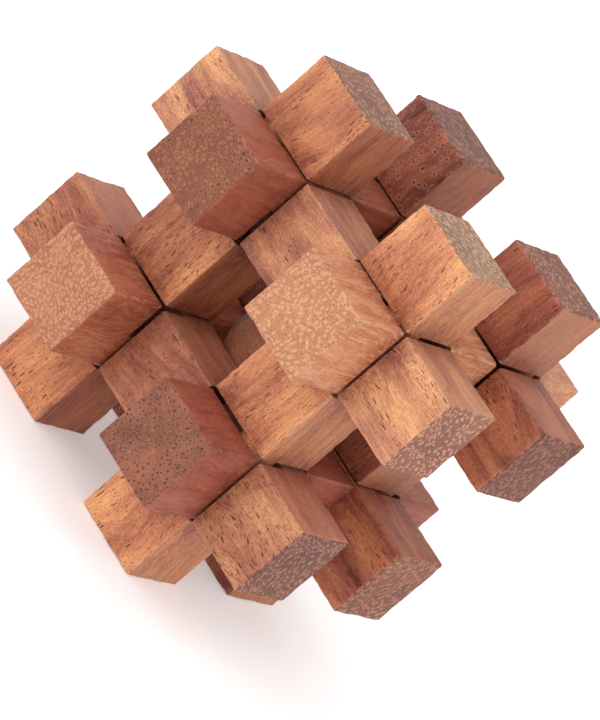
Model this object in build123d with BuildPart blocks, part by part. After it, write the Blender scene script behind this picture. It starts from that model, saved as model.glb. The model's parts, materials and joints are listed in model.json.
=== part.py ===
from build123d import *
import math
import os

# Twelve-stick burr puzzle: a cube-shaped cage of square hardwood sticks, four in
# each direction, that all cross three at a time inside its eight corners, with a
# loose ball shut in the middle.
# Frame: millimetres, +Z up, origin on the table at the centre of the footprint.
# Rails run front to back (Y), crossbars left to right (X), posts upright (Z).

# Driving dimensions
stick_width = 14.4     # square section of every stick
joint_gap = 0.3        # clear space between any two neighbouring sticks
window_width = 15.6    # clear opening between two parallel sticks
end_length = 13.5      # how far a stick runs on past its notches
edge_round = 0.4       # sanded edges
ball_catch = 0.8       # how much wider the ball is than a window, so that it stays inside
ball_seat_gap = 0.1    # air under the ball where it rests in the lower window

# Sizes that follow from them
ball_diameter = window_width + ball_catch
stick_spacing = stick_width + window_width
notch_length = stick_width + 2 * joint_gap
stick_length = stick_spacing + notch_length + 2 * end_length
centre_height = stick_length / 2
half_spacing = stick_spacing / 2
quarter_width = (stick_width - joint_gap) / 2      # what a notch leaves of the section
quarter_centre = (stick_width + joint_gap) / 4     # its distance from the stick's axis
cutter_width = stick_width + 2 * joint_gap         # wide enough to clear the whole section


def make_stick(stick_plane, round_necks=False):
    """A square stick centred on the plane and running along its normal. Each of its
    two notches leaves only the quarter of the section, square or turned round, that
    lies towards the plane's own +x and +y."""
    with BuildPart() as stick:
        with BuildSketch(stick_plane.offset(-stick_length / 2)):
            Rectangle(stick_width, stick_width)
        extrude(amount=stick_length)
        fillet(stick.edges(), edge_round)
        for crossing in (-half_spacing, half_spacing):
            with BuildSketch(stick_plane.offset(crossing - notch_length / 2)):
                Rectangle(cutter_width, cutter_width)
                with Locations((quarter_centre, quarter_centre)):
                    if round_necks:
                        Circle(quarter_width / 2, mode=Mode.SUBTRACT)
                    else:
                        Rectangle(quarter_width, quarter_width, mode=Mode.SUBTRACT)
            extrude(amount=notch_length, mode=Mode.SUBTRACT)
    return stick.part


def save_piece(piece, node_name):
    piece.label = node_name
    export_step(piece, f"parts/{node_name}.step")


os.makedirs("parts", exist_ok=True)

left_right = {"left": -1, "right": 1}
front_back = {"front": -1, "back": 1}
bottom_top = {"bottom": -1, "top": 1}

# Rails: their necks keep the outer half in height and the inner half in width, so
# that a rail lifts straight out of the cage once the posts no longer cover it.
for level, up in bottom_top.items():
    for side, right in left_right.items():
        rail_plane = Plane(
            origin=(right * half_spacing, 0, centre_height + up * half_spacing),
            x_dir=(-right, 0, 0),
            z_dir=(0, up * right, 0),
        )
        save_piece(make_stick(rail_plane), f"rail_{level}_{side}")

# Crossbars: the same stick, with the inner half in height and in depth, so that they
# lie inside the rails and follow them out.
for level, up in bottom_top.items():
    for face, back in front_back.items():
        crossbar_plane = Plane(
            origin=(0, back * half_spacing, centre_height + up * half_spacing),
            x_dir=(0, -back, 0),
            z_dir=(up * back, 0, 0),
        )
        save_piece(make_stick(crossbar_plane), f"crossbar_{level}_{face}")

# Posts: the keys. Their necks are turned round, on one axis in the outermost quarter,
# so that a post turns on the spot while the others stay where they are.
for face, back in front_back.items():
    for side, right in left_right.items():
        post_plane = Plane(
            origin=(right * half_spacing, back * half_spacing, centre_height),
            x_dir=(right, 0, 0),
            z_dir=(0, 0, right * back),
        )
        save_piece(make_stick(post_plane, round_necks=True), f"post_{face}_{side}")

# Ball: it rests on the rounded inner edges of the four lower sticks round the window.
seat_reach = window_width / 2 + edge_round
seat_radius = ball_diameter / 2 + edge_round + ball_seat_gap
seat_height = centre_height - window_width / 2 - edge_round
ball_height = seat_height + math.sqrt(seat_radius**2 - seat_reach**2)
with BuildPart(Plane.XY.offset(ball_height)) as captive_ball:
    Sphere(ball_diameter / 2)
save_piece(captive_ball.part, "captive_ball")

print(f"stick length {stick_length:.2f}, ball centre at z {ball_height:.3f}")
print(f"ball travel {2 * (centre_height - ball_height):.3f}, post axes at {half_spacing + quarter_centre:.3f}")
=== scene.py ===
import bpy
import bmesh
import json
import math
from mathutils import Euler, Matrix, Quaternion, Vector, noise

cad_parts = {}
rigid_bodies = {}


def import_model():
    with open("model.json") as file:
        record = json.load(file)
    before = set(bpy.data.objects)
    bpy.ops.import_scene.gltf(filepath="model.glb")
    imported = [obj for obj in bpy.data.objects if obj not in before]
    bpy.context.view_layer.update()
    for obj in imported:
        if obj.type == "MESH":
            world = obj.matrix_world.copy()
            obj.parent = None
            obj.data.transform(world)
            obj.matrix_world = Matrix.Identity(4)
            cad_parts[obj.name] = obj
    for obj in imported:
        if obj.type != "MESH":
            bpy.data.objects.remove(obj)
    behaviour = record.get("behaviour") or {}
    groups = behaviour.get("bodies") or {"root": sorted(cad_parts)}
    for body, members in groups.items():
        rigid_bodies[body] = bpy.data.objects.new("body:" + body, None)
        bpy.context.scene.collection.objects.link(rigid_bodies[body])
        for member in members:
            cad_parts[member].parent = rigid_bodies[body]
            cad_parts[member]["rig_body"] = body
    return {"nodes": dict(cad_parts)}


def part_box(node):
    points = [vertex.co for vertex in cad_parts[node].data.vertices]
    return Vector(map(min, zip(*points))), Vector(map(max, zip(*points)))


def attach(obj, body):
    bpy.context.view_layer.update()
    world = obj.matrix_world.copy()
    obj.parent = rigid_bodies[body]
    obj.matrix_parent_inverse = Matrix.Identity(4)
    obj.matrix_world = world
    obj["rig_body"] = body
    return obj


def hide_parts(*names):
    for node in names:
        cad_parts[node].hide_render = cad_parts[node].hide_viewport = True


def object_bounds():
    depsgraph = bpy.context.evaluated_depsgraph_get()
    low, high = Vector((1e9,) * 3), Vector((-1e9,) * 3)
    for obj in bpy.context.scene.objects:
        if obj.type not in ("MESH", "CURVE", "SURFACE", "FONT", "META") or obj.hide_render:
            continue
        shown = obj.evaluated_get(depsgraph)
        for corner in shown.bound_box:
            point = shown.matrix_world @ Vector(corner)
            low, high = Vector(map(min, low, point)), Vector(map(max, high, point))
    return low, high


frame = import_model()
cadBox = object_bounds()
print("frame loaded:", len(frame["nodes"]), "nodes")

mm = 0.001


def toLinear(hexColour):
    # sRGB hex to the linear colour that a shader socket takes
    channels = [int(hexColour[place:place + 2], 16) / 255 for place in (1, 3, 5)]
    linear = [c / 12.92 if c <= 0.04045 else ((c + 0.055) / 1.055) ** 2.4 for c in channels]
    return (*linear, 1.0)


def addNode(tree, kind, inputs, **properties):
    # an input that is another node's socket becomes a link, anything else a fixed value
    node = tree.nodes.new(kind)
    for name, value in properties.items():
        setattr(node, name, value)
    for socket, value in inputs.items():
        if isinstance(value, bpy.types.NodeSocket):
            tree.links.new(value, node.inputs[socket])
        else:
            node.inputs[socket].default_value = value
    return node


# Camera first: it looks at the cube's centre from the front right, above, and is turned about its own view.
camera = {
    "lens": 234,                               # mm, on a 36 mm sensor
    "offset": Vector((305.6, -620.6, 218.3)),  # mm, from the middle of the object
    "aim": Vector((2.82, 0.69, -1.92)),        # mm, from the same middle
    "roll": 49.04,                             # degrees
    "sensor": 36,                              # mm
    "nearest": 0.01,                           # m
    "furthest": 50,                            # m
}


def placeCamera():
    middle = (cadBox[0] + cadBox[1]) / 2
    data = bpy.data.cameras.new("camera")
    data.lens = camera["lens"]
    data.sensor_width = camera["sensor"]
    data.clip_start = camera["nearest"]
    data.clip_end = camera["furthest"]
    viewer = bpy.data.objects.new("camera", data)
    bpy.context.collection.objects.link(viewer)
    viewer.location = middle + camera["offset"] * mm
    lookAlong = middle + camera["aim"] * mm - viewer.location
    viewer.rotation_mode = "QUATERNION"
    roll = Quaternion((0, 0, 1), math.radians(camera["roll"]))
    viewer.rotation_quaternion = lookAlong.to_track_quat("-Z", "Y") @ roll
    bpy.context.scene.camera = viewer


placeCamera()
print("camera placed")

# Studio: a bright even surround, one big soft light from the front left, and a matt pale floor.
studio = {
    "surround": 1.0,
    "keyPower": 3.2,                           # W
    "keySize": 0.7,                            # m
    "keyFrom": Vector((-0.45, -0.95, 0.55)),   # m, from the middle of the object
    "floorSize": 24.0,                         # m
    "floorColour": "#f4f4f4",
    "floorRoughness": 0.9,
    "floorSpecular": 0.1,
    "floorGlow": 0.3,                          # keeps the shadow faint, as on a light table
}


def setUpStudio():
    bpy.context.scene.view_settings.view_transform = "Standard"
    world = bpy.data.worlds.new("surround")
    world.use_nodes = True
    backdrop = world.node_tree.nodes["Background"]
    backdrop.inputs["Color"].default_value = toLinear("#ffffff")
    backdrop.inputs["Strength"].default_value = studio["surround"]
    bpy.context.scene.world = world

    data = bpy.data.lights.new("key", "AREA")
    data.energy = studio["keyPower"]
    data.size = studio["keySize"]
    key = bpy.data.objects.new("key", data)
    bpy.context.collection.objects.link(key)
    middle = (cadBox[0] + cadBox[1]) / 2
    key.location = middle + studio["keyFrom"]
    key.rotation_euler = (-studio["keyFrom"]).to_track_quat("-Z", "Y").to_euler()

    sheet = bmesh.new()
    bmesh.ops.create_grid(sheet, x_segments=1, y_segments=1, size=studio["floorSize"] / 2)
    mesh = bpy.data.meshes.new("floor")
    sheet.to_mesh(mesh)
    sheet.free()
    floor = bpy.data.objects.new("floor", mesh)
    bpy.context.collection.objects.link(floor)
    # painted board: matt, no visible texture
    paint = bpy.data.materials.new("painted_board_matt")
    paint.use_nodes = True
    shader = paint.node_tree.nodes["Principled BSDF"]
    shader.inputs["Base Color"].default_value = toLinear(studio["floorColour"])
    shader.inputs["Roughness"].default_value = studio["floorRoughness"]
    shader.inputs["Specular IOR Level"].default_value = studio["floorSpecular"]
    shader.inputs["Emission Color"].default_value = toLinear("#ffffff")
    shader.inputs["Emission Strength"].default_value = studio["floorGlow"]
    mesh.materials.append(paint)


setUpStudio()
print("studio set up")

# Wood. Rain tree, sawn, sanded and oiled: a reddish brown hardwood with big open vessels in pale sheaths.
# The same wood shows short dark dashes along a stick's sides and pale round specks on its ends.
grain = {
    # where a stick's grain runs
    "wanderRate": (0.08, 0.08, 0.045),   # turns per mm of the slow wander, across and along the grain
    "wander": (8.0, 8.0, 0.0),           # mm
    "ringSpacing": 4.2,                  # mm between growth rings
    "patch": 6.5,                        # mm across one cloud of darker or lighter wood
    "patchStretch": 0.4,                 # a cloud is this much slower along the grain
    "crowding": 0.3,                     # how strongly vessels crowd together in places, 0 to 1
    "faceShift": (37.3, 59.1, 17.7),     # mm that each pair of faces is cut from its own place
    # fibres and lines
    "fibreWidth": 0.24,                  # mm, coarser than the real fibre so that it shows
    "fibreLength": 7.0,                  # mm
    "streakWidth": 1.3,                  # mm
    "streakStretch": 12,                 # length over width
    "fleckWidth": 1.2,                   # of a fibre's width
    "fleckStretch": 4,                   # length over a fibre's width
    "lineWidth": 0.42,                   # mm, the pale lines of vessels cut along their length
    "lineLength": 11.0,                  # mm
    "gritSize": 0.3,                     # mm, the specks of light and dark that sanding leaves all over
    # vessels
    "dashSpacing": (0.62, 3.8),          # mm between cut vessels on a side, across and along the grain
    "dashWidth": 0.18,                   # mm
    "dashShare": (0.34, -0.04),          # the share that shows: a slope on the stick's pores, and a start
    "tickSpacing": (0.42, 1.6),          # mm, the same for the smaller vessels
    "tickWidth": 0.14,                   # mm
    "tickShare": (0.5, -0.05),
    "tickShow": 0.7,
    "quarterVessels": 0.3,               # the strength of dashes on faces cut on the quarter
    "poreWidth": 0.32,                   # mm, a vessel cut across on an end
    "speckWidth": 0.62,                  # of the distance between two specks
    "speckWaver": (0.35, 1.2),           # mm that specks stray from rows, on quartered and flat-sawn sticks
    "speckWaverRate": 0.55,              # turns per mm
    "speckShow": (0.55, 0.82),           # how clearly they stand out, on the same two kinds
    "ringedSpacing": (1.5, 1.9),         # mm between the pale ringed pores on a face sawn aslant
    "ringedWidth": 0.8,                  # mm across the pale ring
    "ringedShow": 0.5,
    "poreColour": "#4c2016",
    "poreShow": 0.88,
    "poreDepth": 0.07,                   # mm
    # tones
    "ringTone": 0.22,
    "cloudTone": 0.75,
    "streakTone": 1.1,
    "toneDrop": 0.5,                     # keeps the sum of the three about the middle
    "fibreShow": 0.5,
    "fibreContrast": (1.8, 0.1),         # a slope and a start
    "gritShow": 0.62,
    "gritContrast": (2.4, -0.2),         # a slope and a start
    "quarterShow": 0.35,                 # how far faces cut on the quarter go to their per-stick tone: partly their own plainer tone, partly painted light and shade
    "fleckShow": 0.75,
    # wear and hand dirt, with painted shade beside the joints and a painted highlight on the edges
    "dirtAndShadeStart": 0.15,                   # of the stick's length, beside a joint
    "dirtAndShadeReach": 5.0,                    # mm more, over which the hand dirt and painted shade fade away
    "dirtAndShadeUneven": 8.0,                   # mm that its border wanders
    "dirtAndShadeColour": "#b98a86",
    "dirtAndShadeShow": 0.65,
    "wearAndHighlight": 0.5,                         # mm, how far in from an edge the sanding pales it and the painted highlight reaches
    "wearAndHighlightShow": 0.6,
    "wearAndHighlightUneven": (2.2, -0.9),           # mm, the spread and the start of how far the border moves
    # surface
    "bump": 0.8,
    "fibreRelief": 0.7,                  # of a pore's depth
    "fleckRelief": 0.5,
    "roughness": 0.58,
    "ior": 1.5,
    "specular": 0.32,                    # a dry oil finish, duller than bare film
}

# One look for each stick. side, shade and glow are the usual, dark and golden wood of the long grain. The
# quarter
# tone is for the faces cut on the quarter: partly their own plainer tone, partly painted light and shade, set
# stick by stick so that those faces show the darker and mauve, or on some sticks lighter, look that the light
# gives them.
# end and endShade are the cut ends, and speck the pale sheaths. speckSpacing is how far apart specks lie on
# an end, in mm. specks, pores, endPores, flecks and ringed are shares from 0 to 1, and below 0 there are none
# even where they crowd. flatSawn is 1 where the front and back faces are flat-sawn, and 0 where every side is
# cut on the quarter.
# spin, in degrees, and plank, in mm, say where in the tree the stick was sawn from.
sticks = {
    "rail_bottom_left": {
        "side": "#b26851", "shade": "#91493b", "glow": "#c38062", "quarter": "#b2603f",
        "end": "#b37453", "endShade": "#a0654a", "speck": "#d5a07b",
        "speckSpacing": (0.72, 0.72), "specks": 0.95, "pores": 0.25, "endPores": -0.3, "flecks": 0.5,
        "flatSawn": 0, "spin": 20, "plank": (31, 12, 4),
    },
    "rail_bottom_right": {
        "side": "#a1594a", "shade": "#7a3a30", "glow": "#b56f57", "quarter": "#8d3e2d",
        "end": "#955b44", "endShade": "#6b3b2c", "speck": "#ab7258",
        "speckSpacing": (0.85, 0.85), "specks": 0.3, "pores": 0.3, "endPores": 0.8, "flecks": 0.6,
        "flatSawn": 0, "spin": 75, "plank": (44, -18, 9),
    },
    "rail_top_left": {
        "side": "#9e5545", "shade": "#733529", "glow": "#b26a54", "quarter": "#965037",
        "end": "#8a5139", "endShade": "#733f2d", "speck": "#ac7152",
        "speckSpacing": (0.8, 0.8), "specks": 0.75, "pores": 0.3, "endPores": 0.35, "flecks": 0.6,
        "flatSawn": 0, "spin": -35, "plank": (27, 33, 15),
    },
    "rail_top_right": {
        "side": "#c98562", "shade": "#ae6748", "glow": "#dca07c", "quarter": "#c17449",
        "end": "#bb7e5a", "endShade": "#ad7151", "speck": "#dcab85",
        "speckSpacing": (0.86, 0.86), "specks": 0.85, "pores": 0.1, "endPores": -0.3, "flecks": 0.9,
        "flatSawn": 0, "spin": 10, "plank": (52, 5, 21),
    },
    "crossbar_bottom_front": {
        "side": "#b07052", "shade": "#955443", "glow": "#cb8f68", "quarter": "#d4907a",
        "end": "#7b4734", "endShade": "#613328", "speck": "#b47f6c",
        "speckSpacing": (0.68, 1.15), "specks": 0.85, "pores": 0.95, "endPores": 0.1, "flecks": 0.4,
        "flatSawn": 1, "spin": 50, "plank": (38, -27, 33),
    },
    "crossbar_bottom_back": {
        "side": "#a55f4a", "shade": "#6f3428", "glow": "#c88359", "quarter": "#9a5845",
        "end": "#8b523a", "endShade": "#703d2b", "speck": "#bf8668",
        "speckSpacing": (0.68, 1.15), "specks": 0.8, "pores": 0.6, "endPores": 0.1, "flecks": 0.5,
        "flatSawn": 1, "spin": -60, "plank": (24, 41, 38),
    },
    "crossbar_top_front": {
        "side": "#bd7f60", "shade": "#94594a", "glow": "#dc9f70", "quarter": "#a1654f",
        "end": "#985d46", "endShade": "#7c4837", "speck": "#d09a80",
        "speckSpacing": (0.68, 1.15), "specks": 0.85, "pores": 0.45, "endPores": 0.05, "flecks": 0.5,
        "flatSawn": 1, "spin": 35, "plank": (61, -9, 45),
    },
    "crossbar_top_back": {
        "side": "#ab664c", "shade": "#6d372a", "glow": "#c27b55", "quarter": "#9f5f49",
        "end": "#78412f", "endShade": "#5f3024", "speck": "#ad7560",
        "speckSpacing": (0.68, 1.15), "specks": 0.8, "pores": 0.6, "endPores": 0.1, "flecks": 0.5,
        "flatSawn": 1, "spin": 80, "plank": (29, 22, 51),
    },
    "post_front_left": {
        "side": "#b87251", "shade": "#8f4d3a", "glow": "#d69160", "quarter": "#7d3728",
        "end": "#8c5b44", "endShade": "#7a4c3a", "speck": "#ba8b75",
        "speckSpacing": (0.68, 1.15), "specks": 0.9, "pores": 0.85, "endPores": 0.05, "flecks": 0.6,
        "flatSawn": 1, "spin": -15, "plank": (47, 15, 57),
    },
    "post_front_right": {
        "side": "#ce865e", "shade": "#ac684c", "glow": "#e6a46e", "quarter": "#915037",
        "end": "#a47756", "endShade": "#865d45", "speck": "#d4ab8c",
        "speckSpacing": (0.68, 1.15), "specks": 0.9, "pores": 0.7, "endPores": 0.05, "flecks": 0.6,
        "flatSawn": 1, "spin": 25, "plank": (35, -31, 63),
    },
    "post_back_left": {
        "side": "#864839", "shade": "#602e26", "glow": "#ab6446", "quarter": "#cf7b48",
        "end": "#7b4937", "endShade": "#623428", "speck": "#ae7b68",
        "speckSpacing": (0.68, 1.15), "specks": 0.8, "pores": 0.7, "endPores": 0.3, "flecks": 0.8,
        "ringed": 0.75,
        "flatSawn": 1, "spin": 65, "plank": (22, 28, 69),
    },
    "post_back_right": {
        "side": "#924f3e", "shade": "#703429", "glow": "#a9654a", "quarter": "#d49260",
        "end": "#864f39", "endShade": "#6a3829", "speck": "#bc8671",
        "speckSpacing": (0.68, 1.15), "specks": 0.8, "pores": 0.6, "endPores": 0.3, "flecks": 0.5,
        "flatSawn": 1, "spin": -50, "plank": (58, 19, 75),
    },
}

ballWood = {
    "side": "#d99c78", "shade": "#c08462", "glow": "#e4b08c", "quarter": "#d99c78",
    "end": "#b88365", "endShade": "#a6725a", "speck": "#d4a88a",
    "speckSpacing": (0.8, 0.8), "specks": 0.3, "pores": 0.2, "endPores": 0.15, "flecks": 0.3,
    "flatSawn": 0, "spin": 30, "plank": (33, 7, 81),
}


def jointPlace():
    # how far from a stick's middle it is crossed
    low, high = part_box("rail_top_right")
    return (low.x + high.x) / 2


turnToGrain = {0: (0, -90, 0), 1: (90, 0, 0), 2: (0, 0, 0)}   # degrees that stand each world axis upright


def makeWood(name, look, centre, size, axis):
    jointMiddle = jointPlace() / mm
    material = bpy.data.materials.new(name)
    material.use_nodes = True
    tree = material.node_tree
    shader = tree.nodes["Principled BSDF"]
    coordinates = addNode(tree, "ShaderNodeTexCoord", {})

    # stick: millimetres from the stick's own middle, with its length along z
    upright = Euler([math.radians(angle) for angle in turnToGrain[axis]])
    shift = -(upright.to_matrix() @ (centre / mm))
    stick = addNode(tree, "ShaderNodeMapping",
                    {"Vector": coordinates.outputs["Object"], "Location": shift, "Rotation": upright,
                     "Scale": (1 / mm, 1 / mm, 1 / mm)}).outputs[0]
    facing = addNode(tree, "ShaderNodeMapping",
                     {"Vector": coordinates.outputs["Normal"], "Rotation": upright},
                     vector_type="NORMAL").outputs[0]

    # wood: the same place in the plank that the stick was sawn from, with the grain wandering a little
    plank = addNode(tree, "ShaderNodeMapping",
                    {"Vector": stick, "Location": look["plank"],
                     "Rotation": (0, 0, math.radians(look["spin"]))}).outputs[0]
    slow = addNode(tree, "ShaderNodeMapping", {"Vector": plank, "Scale": grain["wanderRate"]}).outputs[0]
    drift = addNode(tree, "ShaderNodeTexNoise",
                    {"Vector": slow, "Scale": 1.0, "Detail": 2.0}).outputs["Color"]
    drift = addNode(tree, "ShaderNodeVectorMath", {0: drift, 1: (0.5, 0.5, 0.5)},
                    operation="SUBTRACT").outputs[0]
    drift = addNode(tree, "ShaderNodeVectorMath", {0: drift, 1: grain["wander"]},
                    operation="MULTIPLY").outputs[0]
    wood = addNode(tree, "ShaderNodeVectorMath", {0: plank, 1: drift}, operation="ADD").outputs[0]

    # growth rings round the plank's pith
    flat = addNode(tree, "ShaderNodeVectorMath", {0: wood, 1: (1, 1, 0)}, operation="MULTIPLY").outputs[0]
    radius = addNode(tree, "ShaderNodeVectorMath", {0: flat}, operation="LENGTH").outputs["Value"]
    turns = addNode(tree, "ShaderNodeMath", {0: radius, 1: 2 * math.pi / grain["ringSpacing"]},
                    operation="MULTIPLY").outputs[0]
    wave = addNode(tree, "ShaderNodeMath", {0: turns}, operation="SINE").outputs[0]
    rings = addNode(tree, "ShaderNodeMapRange", {"Value": wave, "From Min": -0.8, "From Max": 1.0},
                    interpolation_type="SMOOTHSTEP").outputs[0]

    # clouds: broad light and dark patches drawn out along the grain, and a second set to crowd the vessels
    patch = 1 / grain["patch"]
    clouded = addNode(tree, "ShaderNodeMapping",
                      {"Vector": wood, "Scale": (patch, patch, patch * grain["patchStretch"])}).outputs[0]
    cloudNoise = addNode(tree, "ShaderNodeTexNoise",
                         {"Vector": clouded, "Scale": 1.0, "Detail": 4.0, "Roughness": 0.6})
    clouds = addNode(tree, "ShaderNodeMapRange",
                     {"Value": cloudNoise.outputs["Fac"], "From Min": 0.34, "From Max": 0.66}).outputs[0]
    crowds = addNode(tree, "ShaderNodeSeparateColor", {0: cloudNoise.outputs["Color"]}).outputs["Blue"]
    crowds = addNode(tree, "ShaderNodeMapRange",
                     {"Value": crowds, "From Min": 0.38, "From Max": 0.62,
                      "To Min": -grain["crowding"], "To Max": grain["crowding"]}).outputs[0]

    # fibres, streaks and pale flecks along the grain
    layers = {}
    for layer, width, length in (("fibres", grain["fibreWidth"], grain["fibreLength"]),
                                 ("streaks", grain["streakWidth"],
                                  grain["streakWidth"] * grain["streakStretch"]),
                                 ("flecks", grain["fibreWidth"] * grain["fleckWidth"],
                                  grain["fibreWidth"] * grain["fleckStretch"]),
                                 ("lines", grain["lineWidth"], grain["lineLength"])):
        drawn = addNode(tree, "ShaderNodeMapping",
                        {"Vector": wood, "Scale": (1 / width, 1 / width, 1 / length)}).outputs[0]
        layers[layer] = addNode(tree, "ShaderNodeTexNoise",
                                {"Vector": drawn, "Scale": 1.0, "Detail": 2.0}).outputs["Fac"]

    # which way the surface faces, as whole numbers, so that a vessel is cut lengthwise or across
    looks = addNode(tree, "ShaderNodeVectorMath", {0: facing}, operation="ABSOLUTE").outputs[0]
    looks = addNode(tree, "ShaderNodeVectorMath", {0: looks, 1: (0.45, 0.45, 0.35)},
                    operation="ADD").outputs[0]
    looks = addNode(tree, "ShaderNodeVectorMath", {0: looks}, operation="FLOOR").outputs[0]
    looking = addNode(tree, "ShaderNodeSeparateXYZ", {0: looks})
    isEnd = looking.outputs["Z"]
    # flat-sawn faces, front and back, show strong dashes; the others, cut on the quarter, pale lines
    isFlat = addNode(tree, "ShaderNodeMath", {0: looking.outputs["Y"], 1: look["flatSawn"]},
                     operation="MULTIPLY").outputs[0]
    # each face is cut at a different place, so that opposite faces don't match
    turned = addNode(tree, "ShaderNodeVectorMath", {0: facing}, operation="SIGN").outputs[0]
    turned = addNode(tree, "ShaderNodeVectorMath", {0: turned, 1: looks}, operation="MULTIPLY").outputs[0]
    faceShift = addNode(tree, "ShaderNodeVectorMath", {0: turned, 1: grain["faceShift"]},
                        operation="DOT_PRODUCT").outputs["Value"]
    wandered = addNode(tree, "ShaderNodeVectorMath", {0: stick, 1: drift}, operation="ADD").outputs[0]
    acrossFace = addNode(tree, "ShaderNodeCombineXYZ",
                         {0: looking.outputs["Y"], 1: looking.outputs["X"]}).outputs[0]
    across = addNode(tree, "ShaderNodeVectorMath", {0: wandered, 1: acrossFace},
                     operation="DOT_PRODUCT").outputs["Value"]
    across = addNode(tree, "ShaderNodeMath", {0: across, 1: faceShift}, operation="ADD").outputs[0]
    along = addNode(tree, "ShaderNodeSeparateXYZ", {0: wood}).outputs["Z"]
    onSide = addNode(tree, "ShaderNodeCombineXYZ", {0: across, 1: along}).outputs[0]

    # on an end the specks lean into wavy rows
    strayed = grain["speckWaver"][look["flatSawn"]]
    waver = addNode(tree, "ShaderNodeTexNoise",
                    {"Vector": wood, "Scale": grain["speckWaverRate"], "Detail": 2.0}).outputs["Color"]
    waver = addNode(tree, "ShaderNodeVectorMath", {0: waver, 1: (strayed, strayed, 0.0)},
                    operation="MULTIPLY").outputs[0]
    onEnd = addNode(tree, "ShaderNodeVectorMath", {0: wood, 1: waver}, operation="ADD").outputs[0]

    def cutVessels(place, spacing, width, softness):
        # how much of a vessel is at each point, and a random number from 0 to 1 for each vessel
        scaled = addNode(tree, "ShaderNodeMapping",
                         {"Vector": place, "Scale": (1 / spacing[0], 1 / spacing[1], 0)}).outputs[0]
        cells = addNode(tree, "ShaderNodeTexVoronoi", {"Vector": scaled, "Scale": 1.0},
                        voronoi_dimensions="2D")
        reach = width / 2 / spacing[0]
        disc = addNode(tree, "ShaderNodeMapRange",
                       {"Value": cells.outputs["Distance"], "From Min": reach * (1 - softness),
                        "From Max": reach * (1 + softness), "To Min": 1.0, "To Max": 0.0},
                       interpolation_type="SMOOTHSTEP").outputs[0]
        return disc, addNode(tree, "ShaderNodeSeparateColor", {0: cells.outputs["Color"]}).outputs

    def someOf(disc, chance, share, crowd):
        # keeps only a share of the vessels, more of them where they crowd
        drawn = addNode(tree, "ShaderNodeMath", {0: chance, 1: crowd}, operation="ADD").outputs[0]
        kept = addNode(tree, "ShaderNodeMath", {0: drawn, 1: share}, operation="LESS_THAN").outputs[0]
        return addNode(tree, "ShaderNodeMath", {0: disc, 1: kept}, operation="MULTIPLY").outputs[0]

    dashes, dashChance = cutVessels(onSide, grain["dashSpacing"], grain["dashWidth"], 0.35)
    ticks, tickChance = cutVessels(onSide, grain["tickSpacing"], grain["tickWidth"], 0.5)
    speckWidth = look["speckSpacing"][0] * grain["speckWidth"]
    sheaths, sheathChance = cutVessels(onEnd, look["speckSpacing"], speckWidth, 0.7)
    pores, poreChance = cutVessels(onEnd, look["speckSpacing"], grain["poreWidth"], 0.4)
    dashShare = look["pores"] * grain["dashShare"][0] + grain["dashShare"][1]
    tickShare = look["pores"] * grain["tickShare"][0] + grain["tickShare"][1]
    dashes = someOf(dashes, dashChance["Red"], dashShare, crowds)
    ticks = someOf(ticks, tickChance["Red"], tickShare, crowds)
    sideVessels = addNode(tree, "ShaderNodeMath", {0: ticks, 1: grain["tickShow"], 2: dashes},
                          operation="MULTIPLY_ADD", use_clamp=True).outputs[0]
    fainter = addNode(tree, "ShaderNodeMath",
                      {0: isFlat, 1: 1 - grain["quarterVessels"], 2: grain["quarterVessels"]},
                      operation="MULTIPLY_ADD").outputs[0]
    sideVessels = addNode(tree, "ShaderNodeMath", {0: sideVessels, 1: fainter},
                          operation="MULTIPLY").outputs[0]
    specks = someOf(sheaths, sheathChance["Green"], look["specks"], crowds)
    endVessels = someOf(pores, poreChance["Red"], look["endPores"], crowds)
    vessels = addNode(tree, "ShaderNodeMix", {0: isEnd, 2: sideVessels, 3: endVessels}).outputs[0]

    # distance to the nearest outer edge: the middle one of the three distances to the stick's faces
    away = addNode(tree, "ShaderNodeVectorMath", {0: stick}, operation="ABSOLUTE").outputs[0]
    half = [abs(part) for part in upright.to_matrix() @ (size / mm / 2)]
    inside = addNode(tree, "ShaderNodeVectorMath", {0: half, 1: away}, operation="SUBTRACT").outputs[0]
    depth = addNode(tree, "ShaderNodeSeparateXYZ", {0: inside})
    nearer = addNode(tree, "ShaderNodeMath", {0: depth.outputs[0], 1: depth.outputs[1]},
                     operation="MINIMUM").outputs[0]
    further = addNode(tree, "ShaderNodeMath", {0: depth.outputs[0], 1: depth.outputs[1]},
                      operation="MAXIMUM").outputs[0]
    toEnd = addNode(tree, "ShaderNodeMath", {0: nearer, 1: depth.outputs[2]}, operation="MAXIMUM").outputs[0]
    edgeDistance = addNode(tree, "ShaderNodeMath", {0: further, 1: toEnd}, operation="MINIMUM").outputs[0]
    unevenness = addNode(tree, "ShaderNodeTexNoise", {"Vector": stick, "Scale": 0.9, "Detail": 4.0}).outputs["Fac"]
    # the rubbing and the painted highlight are uneven, so the pale edge comes and goes
    edgeUnevenness = addNode(tree, "ShaderNodeMath", {0: unevenness, 1: grain["wearAndHighlightUneven"][0], 2: grain["wearAndHighlightUneven"][1]},
                     operation="MULTIPLY_ADD").outputs[0]
    edgeDistance = addNode(tree, "ShaderNodeMath", {0: edgeDistance, 1: edgeUnevenness}, operation="ADD").outputs[0]
    # pale edges: partly paled by sanding, partly a painted highlight along every edge
    worn = addNode(tree, "ShaderNodeMapRange",
                   {"Value": edgeDistance, "From Min": 0.0, "From Max": grain["wearAndHighlight"],
                    "To Min": grain["wearAndHighlightShow"], "To Max": 0.0}).outputs[0]

    def mixColour(amount, under, over, **properties):
        return addNode(tree, "ShaderNodeMix", {0: amount, 6: under, 7: over}, data_type="RGBA",
                       **properties).outputs[2]

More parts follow.
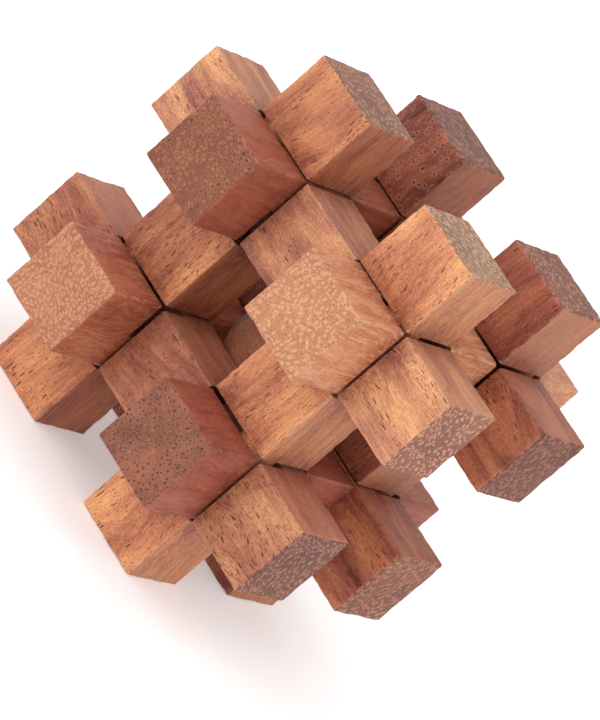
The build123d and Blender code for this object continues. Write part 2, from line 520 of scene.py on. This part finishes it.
    # the long grain: shade to side to glow as the tone rises
    tone = addNode(tree, "ShaderNodeMath", {0: rings, 1: grain["ringTone"]}, operation="MULTIPLY").outputs[0]
    tone = addNode(tree, "ShaderNodeMath", {0: clouds, 1: grain["cloudTone"], 2: tone},
                   operation="MULTIPLY_ADD").outputs[0]
    tone = addNode(tree, "ShaderNodeMath", {0: layers["streaks"], 1: grain["streakTone"], 2: tone},
                   operation="MULTIPLY_ADD").outputs[0]
    tone = addNode(tree, "ShaderNodeMath", {0: tone, 1: grain["toneDrop"]},
                   operation="SUBTRACT", use_clamp=True).outputs[0]
    ramp = addNode(tree, "ShaderNodeValToRGB", {0: tone})
    ramp.color_ramp.elements[0].color = toLinear(look["shade"])
    ramp.color_ramp.elements[1].color = toLinear(look["glow"])
    ramp.color_ramp.elements.new(0.5).color = toLinear(look["side"])
    endColour = mixColour(clouds, toLinear(look["endShade"]), toLinear(look["end"]))
    colour = mixColour(isEnd, ramp.outputs[0], endColour)
    lighter = addNode(tree, "ShaderNodeMath",
                      {0: layers["fibres"], 1: grain["fibreContrast"][0], 2: grain["fibreContrast"][1]},
                      operation="MULTIPLY_ADD").outputs[0]
    colour = mixColour(grain["fibreShow"], colour, lighter, blend_type="MULTIPLY")
    onQuarter = addNode(tree, "ShaderNodeMath", {0: isFlat, 1: isEnd}, operation="MAXIMUM").outputs[0]
    onQuarter = addNode(tree, "ShaderNodeMath", {0: 1.0, 1: onQuarter}, operation="SUBTRACT").outputs[0]
    # painted light and shade: faces cut on the quarter are pulled toward the stick's quarter tone, partly the
    # grain's own plainer tone, partly darker on some sticks and lighter on others as light falls on those
    # faces
    quarterToneAndShadingAmount = addNode(tree, "ShaderNodeMath", {0: onQuarter, 1: grain["quarterShow"]},
                      operation="MULTIPLY").outputs[0]
    colour = mixColour(quarterToneAndShadingAmount, colour, toLinear(look["quarter"]))
    grit = addNode(tree, "ShaderNodeTexNoise",
                   {"Vector": stick, "Scale": 1 / grain["gritSize"], "Detail": 3.0,
                    "Roughness": 0.7}).outputs["Fac"]
    gritty = addNode(tree, "ShaderNodeMath",
                     {0: grit, 1: grain["gritContrast"][0], 2: grain["gritContrast"][1]},
                     operation="MULTIPLY_ADD").outputs[0]
    colour = mixColour(grain["gritShow"], colour, gritty, blend_type="MULTIPLY")
    # painted shade where the sticks cross, with hand dirt and old finish: the wood beside a joint goes darker
    # and mauve
    lengthwise = addNode(tree, "ShaderNodeSeparateXYZ", {0: away}).outputs["Z"]
    beside = addNode(tree, "ShaderNodeMath", {0: lengthwise, 1: jointMiddle},
                     operation="SUBTRACT").outputs[0]
    beside = addNode(tree, "ShaderNodeMath", {0: beside}, operation="ABSOLUTE").outputs[0]
    beside = addNode(tree, "ShaderNodeMath", {0: unevenness, 1: grain["dirtAndShadeUneven"], 2: beside},
                     operation="MULTIPLY_ADD").outputs[0]
    dirtAndShadeStart = size[axis] / mm * grain["dirtAndShadeStart"]
    dirtAndShade = addNode(tree, "ShaderNodeMapRange",
                    {"Value": beside, "From Min": dirtAndShadeStart, "From Max": dirtAndShadeStart + grain["dirtAndShadeReach"],
                     "To Min": grain["dirtAndShadeShow"], "To Max": 0.0}).outputs[0]
    colour = mixColour(dirtAndShade, colour, toLinear(grain["dirtAndShadeColour"]), blend_type="MULTIPLY")
    lines = addNode(tree, "ShaderNodeMapRange",
                    {"Value": layers["lines"], "From Min": 0.52, "From Max": 0.66, "To Min": 0.0,
                     "To Max": look["flecks"] * grain["fleckShow"]}).outputs[0]
    lines = addNode(tree, "ShaderNodeMath", {0: lines, 1: onQuarter}, operation="MULTIPLY").outputs[0]
    colour = mixColour(lines, colour, toLinear(look["speck"]))
    fleck = addNode(tree, "ShaderNodeMapRange",
                    {"Value": layers["flecks"], "From Min": 0.58, "From Max": 0.7, "To Min": 0.0,
                     "To Max": look["flecks"] * grain["fleckShow"]}).outputs[0]
    colour = mixColour(fleck, colour, toLinear(look["speck"]))
    # painted highlight with sanding wear: the edges go pale
    colour = mixColour(worn, colour, toLinear(look["speck"]))
    specks = addNode(tree, "ShaderNodeMath", {0: specks, 1: isEnd}, operation="MULTIPLY").outputs[0]
    specks = addNode(tree, "ShaderNodeMath", {0: specks, 1: grain["speckShow"][look["flatSawn"]]},
                     operation="MULTIPLY").outputs[0]
    colour = mixColour(specks, colour, toLinear(look["speck"]))
    darkness = addNode(tree, "ShaderNodeMath", {0: vessels, 1: grain["poreShow"]},
                       operation="MULTIPLY").outputs[0]
    colour = mixColour(darkness, colour, toLinear(grain["poreColour"]))
    if "ringed" in look:
        # sawn aslant, so that the vessels show as dark dots in pale rings
        rounds, roundChance = cutVessels(onSide, grain["ringedSpacing"], grain["ringedWidth"], 0.3)
        middles, middleChance = cutVessels(onSide, grain["ringedSpacing"], grain["poreWidth"], 0.4)
        aslant = addNode(tree, "ShaderNodeMath", {0: isFlat, 1: look["ringed"]},
                         operation="MULTIPLY").outputs[0]
        rounds = someOf(rounds, roundChance["Red"], aslant, 0.0)
        middles = someOf(middles, middleChance["Red"], aslant, 0.0)
        faint = addNode(tree, "ShaderNodeMath", {0: rounds, 1: grain["ringedShow"]},
                        operation="MULTIPLY").outputs[0]
        colour = mixColour(faint, colour, toLinear(look["speck"]))
        colour = mixColour(middles, colour, toLinear(grain["poreColour"]))
    tree.links.new(colour, shader.inputs["Base Color"])

    # relief: open pores and raised fibres
    height = addNode(tree, "ShaderNodeMath", {0: vessels, 1: -1.0}, operation="MULTIPLY").outputs[0]
    height = addNode(tree, "ShaderNodeMath", {0: layers["fibres"], 1: grain["fibreRelief"], 2: height},
                     operation="MULTIPLY_ADD").outputs[0]
    height = addNode(tree, "ShaderNodeMath", {0: layers["flecks"], 1: grain["fleckRelief"], 2: height},
                     operation="MULTIPLY_ADD").outputs[0]
    bump = addNode(tree, "ShaderNodeBump",
                   {"Height": height, "Strength": grain["bump"],
                    "Distance": grain["poreDepth"] * mm}).outputs[0]
    tree.links.new(bump, shader.inputs["Normal"])
    shader.inputs["Roughness"].default_value = grain["roughness"]
    shader.inputs["IOR"].default_value = grain["ior"]
    shader.inputs["Specular IOR Level"].default_value = grain["specular"]
    return material


# Sticks: sawn square, notched twice, edges broken with sandpaper and since worn by hands.
shape = {
    "jointGap": 0.3,       # mm between neighbouring sticks, as the notches are cut
    "edgeRound": 0.4,      # mm, the long edges and the ends
    "notchEdge": 0.12,     # mm, the notches' rims, left as sawn
    "longStep": 0.6,       # mm between mesh lines along the grain
    "crossStep": 0.7,      # mm across it
    "neckBury": 1.0,       # mm of each neck inside the wood beside it
    "sway": 0.07,          # mm, how far the sanding leaves a face from flat
    "nibble": 0.3,         # mm, how deep the edges are worn in places
    "shortest": 0.3,       # mm, how much shorter one end may be than the next
    "lean": 0.12,          # mm, how far a rail or crossbar lies to one side in its notches
    "swaySize": 9,         # mm across one hollow
    "wearSize": 4,         # mm along an edge, from one worn place to the next
    "nickSize": 1.1,       # mm, the same for the small nicks between them
    "nickShare": 1.4,      # how deep the nicks are beside the worn places
    "edgeReach": 1.1,      # mm in from an edge that its wear begins
    "endReach": 2,         # mm of each end that moves when it is cut short
    "roundSteps": 3,
    "neckSides": 48,
    "sharpFrom": 35,       # degrees between two faces that meet in a crease
}

# which way each one lies, along x, y and z; the posts stand straight
leans = {
    "rail_bottom_left": (-1, 0, 1),
    "rail_bottom_right": (1, 0, -1),
    "rail_top_left": (-1, 0, 1),
    "rail_top_right": (1, 0, 1),
    "crossbar_bottom_front": (0, -1, -1),
    "crossbar_bottom_back": (0, -1, 1),
    "crossbar_top_front": (0, -1, 1),
    "crossbar_top_back": (0, 1, 1),
}


def notchCorner(node, centre):
    # which quarter of the section the necks keep, as a sign along each world axis
    middle = (cadBox[0] + cadBox[1]) / 2
    outward = [math.copysign(1, part) for part in centre - middle]
    if node.startswith("rail"):
        return Vector((-outward[0], 0, outward[2]))
    if node.startswith("crossbar"):
        return Vector((0, -outward[1], -outward[2]))
    return Vector((outward[0], outward[1], 0))


def parallel(edge, axis):
    run = edge.verts[1].co - edge.verts[0].co
    return abs(run[axis]) > 0.99 * run.length


def addBlock(block, centre, size, axis, outerEnd):
    # one full-section length of the stick, gridded for the wear, its outer edges rounded;
    # outerEnd says which of its ends is an end of the stick: -1, 1, or 0 for neither
    bmesh.ops.create_cube(block, size=1, matrix=Matrix.Translation(centre) @ Matrix.Diagonal((*size, 1)))
    for direction in range(3):
        step = shape["longStep"] if direction == axis else shape["crossStep"]
        cuts = round(size[direction] / (step * mm)) - 1
        lines = [edge for edge in block.edges if parallel(edge, direction)]
        bmesh.ops.subdivide_edges(block, edges=lines, cuts=cuts)
    half = size / 2
    tiny = 0.001 * mm

    def flush(edge, direction, sides=(-1, 1)):
        return any(all(abs(v.co[direction] - centre[direction] - side * half[direction]) < tiny
                       for v in edge.verts) for side in sides)

    others = [direction for direction in range(3) if direction != axis]
    outer = [edge for edge in block.edges if flush(edge, others[0]) and flush(edge, others[1])]
    if outerEnd:
        outer += [edge for edge in block.edges if flush(edge, axis, (outerEnd,))
                  and (flush(edge, others[0]) or flush(edge, others[1]))]
    bmesh.ops.bevel(block, geom=outer, offset=shape["edgeRound"] * mm, offset_type="OFFSET",
                    segments=shape["roundSteps"], profile=0.5, affect="EDGES", material=-1)
    for side in (-1, 1):
        if side != outerEnd:
            rim = [edge for edge in block.edges if flush(edge, axis, (side,))
                   and any(not all(flush(e, axis, (side,)) for e in face.edges) for face in edge.link_faces)]
            bmesh.ops.bevel(block, geom=rim, offset=shape["notchEdge"] * mm, offset_type="OFFSET",
                            segments=1, profile=0.5, affect="EDGES", material=-1)


def makeStick(node, look):
    low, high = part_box(node)
    centre, size = (low + high) / 2, high - low
    axis = max(range(3), key=lambda direction: size[direction])
    stickWidth = min(size)
    crossing = jointPlace()
    notchHalf = stickWidth / 2 + shape["jointGap"] * mm
    along = Vector([1.0 if direction == axis else 0.0 for direction in range(3)])

    wood = bmesh.new()
    stops = (-size[axis] / 2, -crossing - notchHalf, -crossing + notchHalf,
             crossing - notchHalf, crossing + notchHalf, size[axis] / 2)
    for first, last, outerEnd in ((stops[0], stops[1], -1), (stops[2], stops[3], 0),
                                  (stops[4], stops[5], 1)):
        block = bmesh.new()
        blockSize = Vector([last - first if direction == axis else stickWidth for direction in range(3)])
        addBlock(block, centre + along * (first + last) / 2, blockSize, axis, outerEnd)
        part = bpy.data.meshes.new("block")
        block.to_mesh(part)
        block.free()
        wood.from_mesh(part)
        bpy.data.meshes.remove(part)

    necks = bmesh.new()
    neckWidth = (stickWidth - shape["jointGap"] * mm) / 2
    aside = notchCorner(node, centre) * (stickWidth + shape["jointGap"] * mm) / 4
    neckLength = 2 * notchHalf + 2 * shape["neckBury"] * mm
    for place in (-crossing, crossing):
        at = Matrix.Translation(centre + aside + along * place)
        if node.startswith("post"):
            bmesh.ops.create_cone(necks, cap_ends=True, segments=shape["neckSides"], radius1=neckWidth / 2,
                                  radius2=neckWidth / 2, depth=neckLength, matrix=at)
        else:
            neckSize = [neckLength if direction == axis else neckWidth for direction in range(3)]
            bmesh.ops.create_cube(necks, size=1, matrix=at @ Matrix.Diagonal((*neckSize, 1)))

    pieces = []
    for form, name in ((wood, node + "_stick"), (necks, node + "_necks")):
        mesh = bpy.data.meshes.new(name)
        form.to_mesh(mesh)
        form.free()
        piece = bpy.data.objects.new(name, mesh)
        bpy.context.collection.objects.link(piece)
        pieces.append(piece)
    piece, neckPiece = pieces
    join = piece.modifiers.new("necks", "BOOLEAN")
    join.operation = "UNION"
    join.solver = "EXACT"
    join.object = neckPiece
    joined = bpy.data.meshes.new_from_object(piece.evaluated_get(bpy.context.evaluated_depsgraph_get()))
    piece.modifiers.clear()
    piece.data = joined
    bpy.data.objects.remove(neckPiece)

    wearStick(joined, node, look, centre, size, axis)
    joined.name = node + "_stick"
    joined.materials.clear()
    joined.materials.append(makeWood("rain_tree_oiled_" + node, look, centre, size, axis))
    return piece


def wearStick(mesh, node, look, centre, size, axis):
    # every point moves inwards only, so that no stick grows into its neighbour
    seed = Vector(look["plank"])
    form = bmesh.new()
    form.from_mesh(mesh)
    form.normal_update()
    moves = []
    for vert in form.verts:
        place = (vert.co - centre) / mm
        toFaces = sorted(size[direction] / mm / 2 - abs(place[direction]) for direction in range(3))
        edge = max(0.0, 1 - toFaces[1] / shape["edgeReach"])
        hollow = shape["sway"] * (0.5 + 0.5 * noise.noise(place / shape["swaySize"] + seed))
        worn = max(0.0, noise.noise(place / shape["wearSize"] + seed * 2))
        nicks = max(0.0, noise.noise(place / shape["nickSize"] + seed * 3))
        inward = hollow + edge * edge * shape["nibble"] * (worn + shape["nickShare"] * nicks)
        moves.append(-vert.normal * inward * mm)
    for vert, move in zip(form.verts, moves):
        vert.co += move
    leaning = Vector(leans.get(node, (0, 0, 0))) * shape["lean"] * mm
    bmesh.ops.translate(form, verts=form.verts, vec=leaning)
    for side in (-1, 1):
        standsHere = axis == 2 and side == -1      # the feet stay on the table
        chance = abs(noise.noise(seed * 1.37 + Vector((side, 0, 0))))
        short = 0 if standsHere else shape["shortest"] * chance
        for vert in form.verts:
            if (vert.co[axis] - centre[axis]) * side > size[axis] / 2 - shape["endReach"] * mm:
                vert.co[axis] -= side * short * mm
    form.to_mesh(mesh)
    form.free()
    for face in mesh.polygons:
        face.use_smooth = True
    mesh.set_sharp_from_angle(angle=math.radians(shape["sharpFrom"]))


for node, look in sticks.items():
    piece = makeStick(node, look)
    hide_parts(node)
    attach(piece, frame["nodes"][node]["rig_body"])
print("sticks made:", len(sticks))

# Ball: turned on a lathe between two centres, so it has faint rings and a small flat at each pole.
ball = {
    "steps": 96,
    "profilePoints": 64,
    "poleFlat": 0.9,       # mm across the flat left at each centre
    "toolMarks": 0.03,     # mm
    "markSpacing": 0.8,    # mm
    "inset": 0.02,         # mm inside the CAD ball, all over
    "tilt": (52, 18, 0),   # degrees that its turning axis lies over
}


def makeBall():
    low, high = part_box("captive_ball")
    centre, radius = (low + high) / 2, (high.z - low.z) / 2 - ball["inset"] * mm
    form = bmesh.new()
    flatAngle = math.asin(ball["poleFlat"] * mm / 2 / radius)
    rim = []
    for point in range(ball["profilePoints"] + 1):
        angle = flatAngle + (math.pi - 2 * flatAngle) * point / ball["profilePoints"]
        arc = angle * radius / mm
        mark = ball["toolMarks"] * mm * (0.5 - 0.5 * math.cos(2 * math.pi * arc / ball["markSpacing"]))
        reach = radius - mark * noise.noise(Vector((arc * 0.7, 0, 0))) ** 2
        rim.append(form.verts.new((reach * math.sin(angle), 0, reach * math.cos(angle))))
    lines = [form.edges.new(pair) for pair in zip(rim, rim[1:])]
    bmesh.ops.spin(form, geom=rim + lines, cent=(0, 0, 0), axis=(0, 0, 1), angle=2 * math.pi,
                   steps=ball["steps"], use_merge=True, use_duplicate=False)
    bmesh.ops.holes_fill(form, edges=form.edges, sides=0)
    bmesh.ops.recalc_face_normals(form, faces=form.faces)
    tilt = Euler([math.radians(angle) for angle in ball["tilt"]]).to_matrix().to_4x4()
    bmesh.ops.transform(form, matrix=Matrix.Translation(centre) @ tilt, verts=form.verts)
    mesh = bpy.data.meshes.new("captive_ball_turned")
    form.to_mesh(mesh)
    form.free()
    for face in mesh.polygons:
        face.use_smooth = True
    mesh.set_sharp_from_angle(angle=math.radians(shape["sharpFrom"]))
    piece = bpy.data.objects.new("captive_ball_turned", mesh)
    bpy.context.collection.objects.link(piece)
    mesh.materials.append(makeWood("rain_tree_turned_ball", ballWood, centre, Vector((1, 1, 1)), 0))
    return piece


turnedBall = makeBall()
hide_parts("captive_ball")
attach(turnedBall, frame["nodes"]["captive_ball"]["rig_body"])
print("ball turned")
